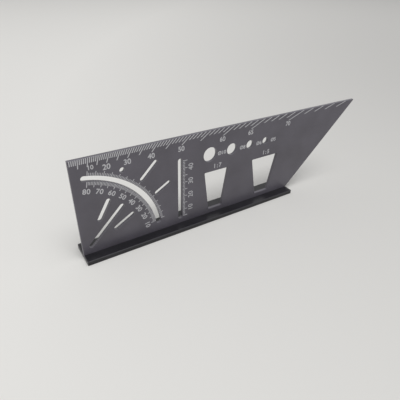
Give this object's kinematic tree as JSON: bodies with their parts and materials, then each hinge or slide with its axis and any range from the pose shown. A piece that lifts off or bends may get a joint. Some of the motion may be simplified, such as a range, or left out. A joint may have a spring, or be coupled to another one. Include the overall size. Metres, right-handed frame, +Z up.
{
  "type": "protractor marking square",
  "caption": "Upright aluminium marking blade on a flat fence, with an arc slot, radial pencil slots, dovetail windows, dowel gauge holes and a leaning 45 degree end",
  "frame": {"origin": "midway along the whole square and across the fence, on the fence's underside", "axes": "+X along the blade from its square end to its leaning end, +Z up, -Y towards the marked side"},
  "size_m": [0.2206, 0.0196, 0.0638],
  "materials": {
    "blade": "black anodised, satin",
    "fence": "black anodised, satin",
    "pin": "ground steel"
  },
  "bodies": {
    "root": {"blade": "blade", "fence": "fence", "dowel_pin_1": "pin", "dowel_pin_2": "pin", "dowel_pin_3": "pin", "dowel_pin_4": "pin", "dowel_pin_5": "pin", "dowel_pin_6": "pin"}
  },
  "joints": []
}
